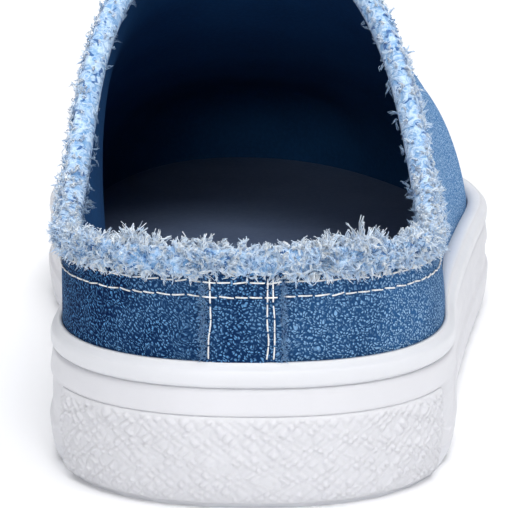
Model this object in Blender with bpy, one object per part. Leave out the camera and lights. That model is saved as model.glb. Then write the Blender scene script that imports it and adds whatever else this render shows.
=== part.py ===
"""Denim slip-on sneaker with a low back and a frayed collar on a platform sole, for the right foot.

Lengths are in metres and +Z is up. +Y runs from the heel to the toe and +X points to the outer side
of the foot. The origin is on the floor, under the middle of the shoe's bounding box.
The shapes are worked out in a last frame, whose zero is under the rearmost point of the heel, and
are moved to the origin at the end.
"""

import functools
import math

import bmesh
import bpy
import numpy as np

# Overall sizes
SHOE_LENGTH = 0.260
HEEL_WIDTH = 0.0735
WAIST_WIDTH = 0.0795
BALL_WIDTH = 0.1045
TOE_WIDTH = 0.0970
SOLE_HEIGHT = 0.0246
THROAT_HEIGHT = 0.0890
HEEL_COLLAR_HEIGHT = 0.0418
TOE_BOX_HEIGHT = 0.0440

# Plan of the sole
HEEL_ROUND = 0.0410
HEEL_SQUARENESS = 2.30
TOE_ROUND = 0.0820
TOE_SQUARENESS = 2.15
TOE_SWING = 0.0060

# Sole wall, heights above the floor at the heel
GAP = 0.0003
OUTSOLE_TOP = 0.0042
BED_FLOOR = 0.0140
CHANNEL_TOP = 0.0159
CHANNEL_FOOT_HEEL = 0.0075
CHANNEL_FOOT_SIDE = 0.0100
CHANNEL_DEPTH = 0.0007
SOLE_EDGE = 0.0005
RAND_FOOT = 0.0204
RAND_BULGE = 0.0005
RAND_TUCK = 0.0009
SOLE_TOP_LIFT = 0.0015
TOE_SPRING = 0.0042
GROOVE_DEPTH = 0.0016
GROOVE_WIDTH = 0.0032
GROOVE_PITCH = 0.0125
GROOVE_BOW = 0.0060
GROOVE_DRAFT = 0.0005

# Heel patch
PATCH_REACH = 0.0200
PATCH_FOOT = 0.0014
PATCH_THICKNESS = 0.0011
PATCH_RECESS = 0.0009

# Upper
WALL = 0.0022
HEEL_TUCK = 0.0024
BALL_TUCK = 0.0050
THROAT_AT = 0.1190
TOE_WALL = 0.0090
TOE_CROWN = 0.0300
HEEL_LEAN = 0.0012
LEAN_EASE = 0.0200
STRIP_WIDTH = 0.0138
STRIP_SHIFT = -0.0014
STRIP_THICKNESS = 0.0009
STRIP_STEP = 0.0012

# Insole
INSOLE_HEEL = 0.0220
INSOLE_FORE = 0.0172
INSOLE_CUP = 0.0018
INSOLE_CLEARANCE = 0.0009

# Frayed collar
FRAY_GAP = 0.0007
FRAY_DROP = 0.0044
FRAY_RISE = 0.0026
FRAY_INNER_DROP = 0.0030
FRAY_OUTER_THICKNESS = 0.0019
FRAY_INNER_THICKNESS = 0.0016
LOCK_PITCH = 0.0041
LOCK_REACH = 0.0010

# Number of facets
SOLE_STATIONS = 38
BACK_STATIONS = 22
FRONT_STATIONS = 18
SECTION_FACETS = 8

# Width rows: share of the length, full width there, and the share of it on the inner side
WIDTH_ROWS = (
    (0.00, HEEL_WIDTH, 0.500),
    (0.15, HEEL_WIDTH, 0.500),
    (0.33, WAIST_WIDTH, 0.470),
    (0.50, 0.45 * WAIST_WIDTH + 0.55 * BALL_WIDTH, 0.470),
    (0.64, BALL_WIDTH, 0.482),
    (0.74, 0.3 * TOE_WIDTH + 0.7 * BALL_WIDTH, 0.490),
    (0.88, TOE_WIDTH, 0.500),
    (1.00, TOE_WIDTH, 0.500),
)

# Collar rows: share of the way to the throat, share of the rise from heel collar to throat
COLLAR_ROWS = (
    (0.00, 0.000),
    (0.18, -0.012),
    (0.34, 0.000),
    (0.47, 0.085),
    (0.60, 0.280),
    (0.73, 0.550),
    (0.86, 0.815),
    (1.00, 1.000),
)

# Ridge rows: share of the length, ridge height as a share of the throat's height
RIDGE_ROWS = (
    (0.000, 1.260),
    (0.200, 1.220),
    (0.340, 1.110),
    (0.445, 1.000),
    (0.530, 0.870),
    (0.620, 0.745),
    (0.720, 0.632),
    (0.820, 0.548),
    (0.900, 0.505),
    (1.000, 0.480),
)

# Lean rows: share of the length, sideways shift of the ridge towards the inner side
LEAN_ROWS = (
    (0.00, 0.0000),
    (0.10, 0.0032),
    (0.20, 0.0088),
    (0.30, 0.0104),
    (0.38, 0.0092),
    (0.50, 0.0066),
    (0.65, 0.0040),
    (0.80, 0.0018),
    (1.00, 0.0000),
)

# Section rows: share of the length, squareness upwards, squareness sideways
SECTION_ROWS = (
    (0.00, 2.00, 2.20),
    (0.20, 2.20, 2.30),
    (0.30, 2.50, 2.40),
    (0.40, 2.20, 2.25),
    (0.60, 2.45, 2.35),
    (0.80, 2.30, 2.30),
    (1.00, 2.60, 2.60),
)

# Taper of the sole wall: share of the sole's height, inward offset
TAPER_ROWS = (
    (0.00, 0.0020),
    (0.05, 0.0011),
    (0.15, 0.0005),
    (0.33, 0.0000),
    (0.56, 0.0000),
    (0.68, 0.0004),
    (0.83, 0.0009),
    (1.00, 0.0010),
)


def spline(rows, at, column=1):
    """Natural cubic spline through one column of the rows, over their first column."""
    x = np.array([row[0] for row in rows])
    y = np.array([row[column] for row in rows])
    step = np.diff(x)
    count = len(x)
    matrix = np.eye(count)
    right = np.zeros(count)
    for i in range(1, count - 1):
        matrix[i, i - 1 : i + 2] = (step[i - 1], 2 * (step[i - 1] + step[i]), step[i])
        right[i] = 6 * ((y[i + 1] - y[i]) / step[i] - (y[i] - y[i - 1]) / step[i - 1])
    bend = np.linalg.solve(matrix, right)
    at = np.clip(np.asarray(at, float), x[0], x[-1])
    i = np.clip(np.searchsorted(x, at, side="right") - 1, 0, count - 2)
    low, high = at - x[i], x[i + 1] - at
    return (
        (bend[i] * high**3 + bend[i + 1] * low**3) / (6 * step[i])
        + (y[i] / step[i] - bend[i] * step[i] / 6) * high
        + (y[i + 1] / step[i] - bend[i + 1] * step[i] / 6) * low
    )


def smoothstep(value):
    """Eases from 0 to 1 as the value goes from 0 to 1."""
    value = np.clip(value, 0.0, 1.0)
    return value * value * (3 - 2 * value)


def end_cap(y):
    """Share of the full width that the round heel and toe leave at a station."""
    heel = np.clip(1 - y / HEEL_ROUND, 0, 1)
    toe = np.clip(1 - (SHOE_LENGTH - y) / TOE_ROUND, 0, 1)
    heel_cap = (1 - heel**HEEL_SQUARENESS) ** (1 / HEEL_SQUARENESS)
    toe_cap = (1 - toe**TOE_SQUARENESS) ** (1 / TOE_SQUARENESS)
    return heel_cap * toe_cap


def sole_edge(y, side):
    """Sideways place of the sole's edge, on the outer side (+1) or the inner side (-1)."""
    along = np.asarray(y, float) / SHOE_LENGTH
    width = spline(WIDTH_ROWS, along)
    inner = spline(WIDTH_ROWS, along, 2)
    half = width * (1 - inner) if side > 0 else width * inner
    swing = TOE_SWING * np.clip((along - 0.6) / 0.4, 0, 1) ** 2
    return side * half * end_cap(y) - swing


def edge_frame(y, side):
    """Point on the sole's edge and its outward direction in plan."""
    step = 1e-7
    low = np.clip(y - step, 0, SHOE_LENGTH)
    high = np.clip(y + step, 0, SHOE_LENGTH)
    run = high - low
    slope = (sole_edge(high, side) - sole_edge(low, side)) / run
    normal = np.stack([side * np.ones_like(slope), -side * slope], -1)
    normal /= np.linalg.norm(normal, axis=-1, keepdims=True)
    for end, way in ((0.0, -1.0), (SHOE_LENGTH, 1.0)):
        normal[np.isclose(y, end, atol=1e-9)] = (0.0, way)
    return np.stack([sole_edge(y, side), y], -1), normal


def stations(count, low=0.0, high=SHOE_LENGTH):
    """Stations between two places along the shoe, spaced evenly along the edge."""
    angle = np.linspace(0, math.pi, 4001)
    y = low + (high - low) * (1 - np.cos(angle)) / 2
    edge = (sole_edge(y, 1) - sole_edge(y, -1)) / 2
    length = np.concatenate([[0], np.cumsum(np.hypot(np.diff(edge), np.diff(y)))])
    return np.interp(np.linspace(0, length[-1], count + 1), length, y)


def ring(y, offset):
    """Closed plan ring: heel to toe on the outer side, then back on the inner side.

    offset gives the outward distance from the sole's edge at each station.
    """
    offset = np.broadcast_to(offset, y.shape)[:, None]
    outer, outer_way = edge_frame(y, 1)
    inner, inner_way = edge_frame(y, -1)
    outer = outer + offset * outer_way
    inner = inner + offset * inner_way
    return np.concatenate([outer, inner[-2:0:-1]])


def around(values):
    """One value per station, repeated for the vertices of a ring."""
    return np.concatenate([values, values[-2:0:-1]])


def floor_lift(y):
    """Rise of the sole's underside towards the toe."""
    return TOE_SPRING * np.clip((y / SHOE_LENGTH - 0.66) / 0.34, 0, 1) ** 2


def sole_level(y, height):
    """World height of a level of the sole that lies at the given height at the heel."""
    lift = floor_lift(y)
    top = SOLE_HEIGHT + SOLE_TOP_LIFT * np.clip((y / SHOE_LENGTH - 0.62) / 0.38, 0, 1) ** 2
    return lift + (top - lift) * height / SOLE_HEIGHT


def taper(height):
    """Inward offset of the sole's wall at a level."""
    share = height / SOLE_HEIGHT
    return np.interp(share, [row[0] for row in TAPER_ROWS], [row[1] for row in TAPER_ROWS])


def patch_recess(y):
    """Inward step that seats the heel patch, easing out just past its ends."""
    return PATCH_RECESS * (1 - smoothstep((y - PATCH_REACH) / 0.004 - 1))


def level_ring(y, height, extra=0.0):
    """Ring of the sole's wall at a level, with an extra outward offset."""
    height = np.broadcast_to(height, y.shape)
    plan = ring(y, extra - taper(height))
    return np.column_stack([plan, around(sole_level(y, height))])


def new_object(name, mesh_data, colour, roughness, bevel=None):
    """Links a mesh object with its own material, with its normals pointing out."""
    mesh = bpy.data.meshes.new(name)
    mesh_data.normal_update()
    bmesh.ops.recalc_face_normals(mesh_data, faces=mesh_data.faces)
    for face in mesh_data.faces:
        face.smooth = True
    mesh_data.to_mesh(mesh)
    mesh_data.free()
    obj = bpy.data.objects.new(name, mesh)
    bpy.context.scene.collection.objects.link(obj)
    mesh.set_sharp_from_angle(angle=math.radians(40))
    material = bpy.data.materials.new(name)
    material.use_nodes = True
    shader = material.node_tree.nodes["Principled BSDF"]
    shader.inputs["Base Color"].default_value = (*colour, 1)
    shader.inputs["Roughness"].default_value = roughness
    shader.inputs["Metallic"].default_value = 0.0
    mesh.materials.append(material)
    if bevel:
        modifier = obj.modifiers.new("Bevel", "BEVEL")
        modifier.width = bevel
        modifier.limit_method = "ANGLE"
    return obj


def add_ring(bm, points):
    """Adds a ring of points in the last frame and returns its vertices."""
    return [bm.verts.new(tuple(map(float, point))) for point in points]


def bridge(bm, low, high):
    """Joins two closed rings of equal length with quads."""
    count = len(low)
    for i in range(count):
        j = (i + 1) % count
        bm.faces.new((low[i], low[j], high[j], high[i]))


def ladder(bm, loop):
    """Closes a ring across, from the outer side to the inner side, station by station."""
    count = len(loop)
    half = count // 2
    for i in range(half):
        corners = [loop[i], loop[i + 1], loop[(count - i - 1) % count], loop[(count - i) % count]]
        distinct = list(dict.fromkeys(corners))
        bm.faces.new(distinct)


def groove_rows():
    """Stations of the outsole, with four for each groove across it."""
    first, last = 0.030, SHOE_LENGTH - 0.034
    count = int((last - first) / GROOVE_PITCH)
    rows = [(y, 0.0) for y in stations(SOLE_STATIONS)]
    for i in range(count + 1):
        middle = first + i * GROOVE_PITCH
        reach = GROOVE_WIDTH / 2 + GROOVE_DRAFT
        rows = [row for row in rows if abs(row[0] - middle) > reach + GROOVE_DRAFT]
        rows += [
            (middle - reach, 0.0),
            (middle - GROOVE_WIDTH / 2, GROOVE_DEPTH),
            (middle + GROOVE_WIDTH / 2, GROOVE_DEPTH),
            (middle + reach, 0.0),
        ]
    rows.sort()
    return np.array([row[0] for row in rows]), np.array([row[1] for row in rows])


def make_outsole():
    """Tread plate with bowed grooves across it, open to the sides."""
    y, depth = groove_rows()
    bm = bmesh.new()
    shares = (1.0, 0.8, 0.45, 0.0, -0.45, -0.8, -1.0)
    plan = ring(y, -taper(0.0))
    count = len(plan)
    rows = []
    for j, station in enumerate(y):
        outer, inner = plan[j], plan[(count - j) % count]
        z = floor_lift(station) + depth[j]
        if j in (0, len(y) - 1):
            rows.append([bm.verts.new((*outer, z))] * len(shares))
            continue
        middle, half = (outer + inner) / 2, (outer - inner) / 2
        fade = min(1.0, min(station, SHOE_LENGTH - station) / 0.03)
        row = []
        for share in shares:
            point = middle + half * share
            point[1] += GROOVE_BOW * fade * (1 - share * share)
            row.append(bm.verts.new((*point, z)))
        rows.append(row)
    for low, high in zip(rows, rows[1:]):
        for i in range(len(shares) - 1):
            corners = list(dict.fromkeys((low[i], low[i + 1], high[i + 1], high[i])))
            bm.faces.new(corners)
    foot = [row[0] for row in rows] + [row[-1] for row in rows[-2:0:-1]]
    recess = -patch_recess(y)
    shoulder = add_ring(bm, level_ring(y, GROOVE_DEPTH * 1.4, recess))
    top = add_ring(bm, level_ring(y, OUTSOLE_TOP - GAP / 2, recess))
    bridge(bm, foot, shoulder)
    bridge(bm, shoulder, top)
    ladder(bm, top)
    return new_object("outsole", bm, (0.80, 0.80, 0.82), 0.55)


def channel_foot(y):
    """Height of the lower edge of the channel along the side of the sole."""
    ease = smoothstep((y - PATCH_REACH) / 0.045)
    return CHANNEL_FOOT_HEEL + (CHANNEL_FOOT_SIDE - CHANNEL_FOOT_HEEL) * ease


def make_midsole():
    """Platform with a raised band, a channel under it and a shallow cup for the upper."""
    y = stations(SOLE_STATIONS)
    recess = -patch_recess(y)
    channel = np.minimum(recess, -CHANNEL_DEPTH)
    foot = channel_foot(y)
    rings = [
        level_ring(y, OUTSOLE_TOP + GAP / 2, recess - SOLE_EDGE),
        level_ring(y, OUTSOLE_TOP + GAP / 2 + SOLE_EDGE, recess),
        level_ring(y, foot - SOLE_EDGE, recess),
        level_ring(y, foot + SOLE_EDGE, channel),
        level_ring(y, CHANNEL_TOP - SOLE_EDGE, channel),
        level_ring(y, CHANNEL_TOP, 0.0),
        level_ring(y, RAND_FOOT - SOLE_EDGE, 0.0),
        level_ring(y, RAND_FOOT - GAP / 2, -SOLE_EDGE),
    ]
    cup = feather_inset(y) - GAP
    rings.append(np.column_stack([ring(y, -cup), around(sole_level(y, RAND_FOOT - GAP / 2))]))
    rings.append(np.column_stack([ring(y, -cup), around(sole_level(y, BED_FLOOR))]))
    bm = bmesh.new()
    loops = [add_ring(bm, points) for points in rings]
    for low, high in zip(loops, loops[1:]):
        bridge(bm, low, high)
    ladder(bm, loops[0])
    ladder(bm, loops[-1])
    return new_object("midsole", bm, (0.83, 0.83, 0.85), 0.5)


def make_rand():
    """Rounded band that wraps the foot of the upper."""
    y = stations(SOLE_STATIONS)
    cup = feather_inset(y) - GAP
    tuck = np.minimum(RAND_TUCK, cup * 0.5)
    section = (
        (RAND_FOOT + GAP / 2, -0.0004),
        (RAND_FOOT + 0.0009, RAND_BULGE * 0.7),
        (RAND_FOOT + 0.0022, RAND_BULGE),
        (SOLE_HEIGHT - 0.0014, RAND_BULGE * 0.4),
        (SOLE_HEIGHT - 0.0004, -tuck * 0.6),
        (SOLE_HEIGHT, -tuck),
    )
    rings = [level_ring(y, height, offset) for height, offset in section]
    for height in (SOLE_HEIGHT, RAND_FOOT + GAP / 2):
        rings.append(np.column_stack([ring(y, -cup), around(sole_level(y, height))]))
    bm = bmesh.new()
    loops = [add_ring(bm, points) for points in rings]
    for low, high in zip(loops, loops[1:] + loops[:1]):
        bridge(bm, low, high)
    return new_object("rand", bm, (0.86, 0.86, 0.88), 0.45)


def make_heel_patch():
    """Rubber plate wrapped round the back of the sole."""
    arc = [y for y in stations(SOLE_STATIONS) if 0 < y < PATCH_REACH - 0.002]
    y = np.array([0.0, *arc, PATCH_REACH])
    levels = (PATCH_FOOT, PATCH_FOOT + 0.0016, 0.0050, 0.0085, 0.0120, CHANNEL_TOP - SOLE_EDGE - GAP)
    bm = bmesh.new()
    grids = []
    for depth in (GAP, GAP + PATCH_THICKNESS):
        rows = []
        for height in levels:
            offset = depth - PATCH_RECESS - taper(height)
            outer, outer_way = edge_frame(y, 1)
            inner, inner_way = edge_frame(y, -1)
            plan = np.concatenate([(outer + offset * outer_way)[::-1], (inner + offset * inner_way)[1:]])
            rows.append([bm.verts.new((*point, height)) for point in plan])
        grids.append(rows)
    close_slab(bm, *grids)
    return new_object("heel_patch", bm, (0.82, 0.82, 0.85), 0.6)


def close_slab(bm, back, front):
    """Joins two grids of vertices into a closed slab."""
    for grid in (back, front):
        for low, high in zip(grid, grid[1:]):
            for i in range(len(low) - 1):
                bm.faces.new((low[i], low[i + 1], high[i + 1], high[i]))
    rims = [
        (back[0], front[0]),
        (back[-1], front[-1]),
        ([row[0] for row in back], [row[0] for row in front]),
        ([row[-1] for row in back], [row[-1] for row in front]),
    ]
    for a, b in rims:
        for i in range(len(a) - 1):
            bm.faces.new((a[i], a[i + 1], b[i + 1], b[i]))


def feather_inset(y):
    """Distance from the sole's edge in to the outside of the upper."""
    return HEEL_TUCK + (BALL_TUCK - HEEL_TUCK) * smoothstep((y / SHOE_LENGTH - 0.17) / 0.2)


def feather(y, side, inset=0.0):
    """Lowest line of the upper's outer face in plan, moved in by the inset."""
    point, way = edge_frame(y, side)
    return point - (feather_inset(y) + inset)[..., None] * way


def upper_foot(y):
    """Height of the upper's lower edge, in the cup of the midsole."""
    return sole_level(y, BED_FLOOR) + GAP


def ridge_height(y):
    """World height of the top line of the last, rounded down at the toe."""
    full = THROAT_HEIGHT * spline(RIDGE_ROWS, y / SHOE_LENGTH)
    full = full + (TOE_BOX_HEIGHT - THROAT_HEIGHT * 0.5) * smoothstep((y / SHOE_LENGTH - 0.6) / 0.3)
    foot = upper_foot(y) + TOE_WALL
    crown = np.clip(1 - (SHOE_LENGTH - y) / TOE_CROWN, 0, 1)
    return foot + (full - foot) * (1 - crown**2.2) ** 0.5


def collar_height(y):
    """World height of the collar's edge behind the throat."""
    rise = spline(COLLAR_ROWS, y / THROAT_AT)
    return HEEL_COLLAR_HEIGHT + (ridge_height(np.array(THROAT_AT)) - HEEL_COLLAR_HEIGHT) * rise


def collar_angle(y):
    """Section angle of the collar's edge: a right angle is the ridge."""
    return np.where(y < THROAT_AT - 1e-9, wall_angle(y, collar_height(y)), math.pi / 2)


def upper_point(y, side, angle):
    """Point of the upper's outer face: angle 0 is its foot and a right angle is the ridge."""
    y, angle = np.broadcast_arrays(np.asarray(y, float), np.asarray(angle, float))
    up = spline(SECTION_ROWS, y / SHOE_LENGTH)
    across = spline(SECTION_ROWS, y / SHOE_LENGTH, 2)
    foot = upper_foot(y)
    edge = feather(y, side)
    ridge = (feather(y, 1) + feather(y, -1)) / 2
    reach = np.cos(angle).clip(0, 1) ** (2 / across)
    rise = np.sin(angle).clip(0, 1) ** (2 / up)
    plan = ridge + (edge - ridge) * reach[..., None]
    z = foot + (ridge_height(y) - foot) * rise
    forward = HEEL_LEAN * (z - foot) / (HEEL_COLLAR_HEIGHT - BED_FLOOR) * (1 - smoothstep(y / 0.05))
    clear = np.clip((z - sole_level(y, SOLE_HEIGHT)) / (ridge_height(y) - foot), 0, 1)
    inward = spline(LEAN_ROWS, y / SHOE_LENGTH) * clear**2 / (clear + LEAN_EASE)
    return np.stack([plan[..., 0] - inward, plan[..., 1] + forward, z], -1)


def upper_stations():
    """Stations of the upper, closer together where the throat is round."""
    back = stations(BACK_STATIONS, 0.0, THROAT_AT - 0.012)
    throat = THROAT_AT - 0.012 * (1 - np.linspace(0, 1, 10)[1:]) ** 1.8
    front = stations(FRONT_STATIONS, THROAT_AT, SHOE_LENGTH)
    return np.concatenate([back, throat, front[1:]])


def make_upper():
    """Hollow upper: one wall from the feather line to the collar, closed over the forefoot."""
    y = upper_stations()
    top = collar_angle(y)
    shares = np.linspace(0, 1, SECTION_FACETS + 1)
    bm = bmesh.new()
    sides = {}
    for side in (1, -1):
        sides[side] = []
        for j, station in enumerate(y):
            line = upper_point(station, side, shares * top[j])
            shut = station >= THROAT_AT - 1e-9
            verts = []
            for k, point in enumerate(line):
                at_tip = j in (0, len(y) - 1)
                shared = side < 0 and (at_tip or (shut and k == SECTION_FACETS))
                verts.append(sides[1][j][k] if shared else bm.verts.new(tuple(map(float, point))))
            sides[side].append(verts)
    for side in (1, -1):
        for low, high in zip(sides[side], sides[side][1:]):
            for k in range(SECTION_FACETS):
                corners = (low[k], high[k], high[k + 1], low[k + 1])
                bm.faces.new(list(dict.fromkeys(corners))[:: side])
    obj = new_object("upper", bm, (0.10, 0.22, 0.42), 0.85)
    solid = obj.modifiers.new("Wall", "SOLIDIFY")
    solid.thickness = WALL
    solid.offset = -1
    solid.use_even_offset = True
    return obj


@functools.lru_cache(None)
def feather_arc(side):
    """Stations along the feather line, and the distance to each from the back of the heel."""
    y = np.concatenate([[0.0], SHOE_LENGTH * (1 - np.cos(np.linspace(0.002, math.pi, 6000))) / 2])
    line = feather(y, side)
    return y, np.concatenate([[0], np.cumsum(np.hypot(*np.diff(line, axis=0).T))])


def place_at(distance):
    """Station and side at a distance along the feather line from the back, outer side positive."""
    side = 1 if distance >= 0 else -1
    y, length = feather_arc(side)
    return float(np.interp(abs(distance), length, y)), side


def wall_point(distance, angle):
    """Point of the upper's outer face at a distance along the feather line."""
    return upper_point(*place_at(distance), min(angle, math.pi / 2))


def wall_frame(distance, angle):
    """Point of the upper's outer face, its outward normal, and its slopes along the shoe and up it."""
    step, turn = 2e-4, 1e-4
    middle = min(angle, math.pi / 2 - 2 * turn)
    along = (wall_point(distance + step, angle) - wall_point(distance - step, angle)) / (2 * step)
    up = (wall_point(distance, middle + turn) - wall_point(distance, middle - turn)) / (2 * turn)
    normal = np.cross(along, up)
    return wall_point(distance, angle), normal / np.linalg.norm(normal), along, up


def wall_walk(distance, angle, way, depth):
    """Point reached from a place on the upper by walking over its face, then moved out by the depth."""
    _, _, along, up = wall_frame(distance, angle)
    step, turn = np.linalg.lstsq(np.column_stack([along, up]), way, rcond=None)[0]
    point, normal = wall_frame(distance + step, angle + turn)[:2]
    return point + normal * depth


def wall_angle(y, height):
    """Section angle at which the upper's outer face reaches a height."""
    foot = upper_foot(y)
    up = spline(SECTION_ROWS, y / SHOE_LENGTH)
    share = np.clip((height - foot) / (ridge_height(y) - foot), 0, 1)
    return np.arcsin(share ** (up / 2))


def make_heel_strip():
    """Denim strip down the back of the upper, between the rand and the fray."""
    columns = np.linspace(-STRIP_WIDTH / 2, STRIP_WIDTH / 2, 9) + STRIP_SHIFT
    bm = bmesh.new()
    grids = [[], []]
    for row in np.linspace(0, 1, 7):
        lines = ([], [])
        for column in columns:
            low = SOLE_HEIGHT + GAP
            high = HEEL_COLLAR_HEIGHT - FRAY_DROP - STRIP_STEP
            angle = wall_angle(np.array(place_at(column)[0]), low + (high - low) * row)
            point, normal = wall_frame(column, float(angle))[:2]
            for line, depth in zip(lines, (GAP, GAP + STRIP_THICKNESS)):
                line.append(bm.verts.new(tuple(point + normal * depth)))
        for grid, line in zip(grids, lines):
            grid.append(line)
    close_slab(bm, *grids)
    return new_object("heel_strip", bm, (0.11, 0.25, 0.46), 0.85)


def make_insole():
    """Footbed that fills the foot of the upper, cupped at the heel."""
    y = stations(SOLE_STATIONS)
    inset = feather_inset(y) + WALL + INSOLE_CLEARANCE
    plan = ring(y, -inset)
    count = len(plan)
    shares = (1.0, 0.9, 0.72, 0.4, 0.0, -0.4, -0.72, -0.9, -1.0)
    bm = bmesh.new()
    rows = []
    for j, station in enumerate(y):
        outer, inner = plan[j], plan[(count - j) % count]
        level = INSOLE_HEEL + (INSOLE_FORE - INSOLE_HEEL) * smoothstep((station - 0.06) / 0.09)
        z = float(sole_level(station, level))
        cup = INSOLE_CUP * (1 - smoothstep((station - 0.05) / 0.1))
        if j in (0, len(y) - 1):
            rows.append([bm.verts.new((*outer, z + cup))] * len(shares))
            continue
        middle, half = (outer + inner) / 2, (outer - inner) / 2
        end = (1 - smoothstep(station / 0.03)) * cup
        rows.append(
            [
                bm.verts.new((*(middle + half * share), z + max(cup * abs(share) ** 3, end)))
                for share in shares
            ]
        )
    for low, high in zip(rows, rows[1:]):
        for i in range(len(shares) - 1):
            bm.faces.new(list(dict.fromkeys((low[i], low[i + 1], high[i + 1], high[i]))))
    rim = [row[0] for row in rows] + [row[-1] for row in rows[-2:0:-1]]
    foot_height = around(sole_level(y, BED_FLOOR) + GAP)
    foot = add_ring(bm, np.column_stack([plan, foot_height]))
    bridge(bm, rim, foot)
    ladder(bm, foot)
    return new_object("insole", bm, (0.45, 0.47, 0.52), 0.8)


def collar_stations():
    """Stations round the collar, one for each half lock, from the back to the throat."""
    y = np.concatenate([stations(400, 0.0, THROAT_AT - 0.006), THROAT_AT - 0.006 * np.linspace(1, 0, 60)[1:] ** 2])
    line = np.array([upper_point(v, 1, collar_angle(np.array(v))) for v in y])
    length = np.concatenate([[0], np.cumsum(np.linalg.norm(np.diff(line, axis=0), axis=1))])
    count = 2 * round(length[-1] / LOCK_PITCH)
    return np.interp(np.linspace(0, length[-1], count + 1), length, y)


def collar_path():
    """Places round the collar: outer side from the back to the throat, then back on the inner side."""
    path = []
    for side in (1, -1):
        y = collar_stations()[::side]
        distance = np.interp(y, *feather_arc(side)) * side
        places = list(zip(distance.tolist(), collar_angle(y).tolist()))
        path += places[: len(places) - 1]
    return path


def fray_section(distance, angle, normal, out, lock):
    """Points round the fringe at one place: down the outer leg, over the top and up the inner leg."""
    outer = FRAY_GAP + FRAY_OUTER_THICKNESS
    inner = -WALL - FRAY_GAP - FRAY_INNER_THICKNESS
    edge = wall_point(distance, angle)
    legs = (
        (FRAY_GAP, -FRAY_DROP * 0.9 - lock),
        (FRAY_GAP + FRAY_OUTER_THICKNESS * 0.6, -FRAY_DROP - lock),
        (outer, -FRAY_DROP * 0.4),
        (outer * 0.85, FRAY_RISE * 0.6),
        (-WALL * 0.4, FRAY_RISE + lock),
        (inner * 0.9, FRAY_RISE * 0.5),
        (inner, -FRAY_INNER_DROP * 0.5),
        (-WALL - FRAY_GAP, -FRAY_INNER_DROP - lock * 0.5),
        (-WALL - FRAY_GAP, FRAY_GAP),
        (FRAY_GAP, FRAY_GAP),
    )
    return [
        edge + normal * depth + out * rise if rise > 0 else wall_walk(distance, angle, out * rise, depth)
        for depth, rise in legs
    ]


def make_collar_fray():
    """Frayed fringe that straddles the collar's edge, with short locks fused along it."""
    path = collar_path()
    points = np.array([wall_point(*place) for place in path])
    runs = np.roll(points, -1, axis=0) - np.roll(points, 1, axis=0)
    bm = bmesh.new()
    loops = []
    for i, (place, run) in enumerate(zip(path, runs)):
        normal = wall_frame(*place)[1]
        if i == len(path) // 2:
            normal[0] = 0.0
        out = np.cross(normal, run)
        out /= np.linalg.norm(out)
        lock = LOCK_REACH if i % 2 else -LOCK_REACH
        loops.append(add_ring(bm, fray_section(*place, normal, out, lock)))
    for a, b in zip(loops, loops[1:] + loops[:1]):
        bridge(bm, a, b)
    return new_object("collar_fray", bm, (0.62, 0.72, 0.84), 0.95)


def centre_on_origin(objects):
    """Moves every mesh so that the sole's plan is centred on the origin."""
    y = stations(4000)
    sole = ring(y, RAND_BULGE)
    middle = (sole.min(0) + sole.max(0)) / 2
    for obj in objects:
        for vertex in obj.data.vertices:
            vertex.co.x -= middle[0]
            vertex.co.y -= middle[1]


def main():
    """Builds every piece of the shoe."""
    for old in list(bpy.data.objects):
        bpy.data.objects.remove(old)
    makers = (
        make_outsole,
        make_midsole,
        make_rand,
        make_heel_patch,
        make_upper,
        make_heel_strip,
        make_insole,
        make_collar_fray,
    )
    centre_on_origin([make() for make in makers])


main()
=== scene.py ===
"""Dressed scene of the denim slip-on sneaker: cloth, yarn, stitches, rubber, light and camera.

Lengths are in metres. The shapes follow the same tables as the CAD model. They are worked out in a last
frame, whose zero is under the rearmost point of the heel, and to_row moves them to the row frame.
"""

import functools
import math

import bmesh
import bpy
import numpy as np
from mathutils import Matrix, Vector


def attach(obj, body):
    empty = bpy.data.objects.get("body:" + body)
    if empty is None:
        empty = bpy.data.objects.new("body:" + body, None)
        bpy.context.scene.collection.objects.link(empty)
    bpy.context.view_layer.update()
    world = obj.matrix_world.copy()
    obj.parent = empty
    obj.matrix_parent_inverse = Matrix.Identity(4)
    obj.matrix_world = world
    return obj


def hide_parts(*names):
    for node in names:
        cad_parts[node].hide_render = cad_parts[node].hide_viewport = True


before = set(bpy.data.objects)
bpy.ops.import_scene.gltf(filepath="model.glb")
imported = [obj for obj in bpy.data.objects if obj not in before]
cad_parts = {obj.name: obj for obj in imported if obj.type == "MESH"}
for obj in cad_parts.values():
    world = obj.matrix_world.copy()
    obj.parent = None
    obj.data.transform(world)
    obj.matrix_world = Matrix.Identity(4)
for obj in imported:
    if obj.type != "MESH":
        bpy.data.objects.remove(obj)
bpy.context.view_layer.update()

# Sizes of the CAD model
SHOE_LENGTH = 0.260
HEEL_WIDTH = 0.0735
WAIST_WIDTH = 0.0795
BALL_WIDTH = 0.1045
TOE_WIDTH = 0.0970
SOLE_HEIGHT = 0.0246
THROAT_HEIGHT = 0.0890
HEEL_COLLAR_HEIGHT = 0.0418
TOE_BOX_HEIGHT = 0.0440
HEEL_ROUND = 0.0410
HEEL_SQUARENESS = 2.30
TOE_ROUND = 0.0820
TOE_SQUARENESS = 2.15
TOE_SWING = 0.0060
GAP = 0.0003
OUTSOLE_TOP = 0.0042
BED_FLOOR = 0.0140
CHANNEL_TOP = 0.0159
CHANNEL_FOOT_HEEL = 0.0075
CHANNEL_FOOT_SIDE = 0.0100
CHANNEL_DEPTH = 0.0007
RAND_FOOT = 0.0204
RAND_BULGE = 0.0005
RAND_TUCK = 0.0009
SOLE_TOP_LIFT = 0.0015
TOE_SPRING = 0.0042
PATCH_REACH = 0.0200
PATCH_FOOT = 0.0014
PATCH_THICKNESS = 0.0011
PATCH_RECESS = 0.0009
WALL = 0.0022
HEEL_TUCK = 0.0024
BALL_TUCK = 0.0050
THROAT_AT = 0.1190
TOE_WALL = 0.0090
TOE_CROWN = 0.0300
HEEL_LEAN = 0.0012
LEAN_EASE = 0.0200
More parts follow.
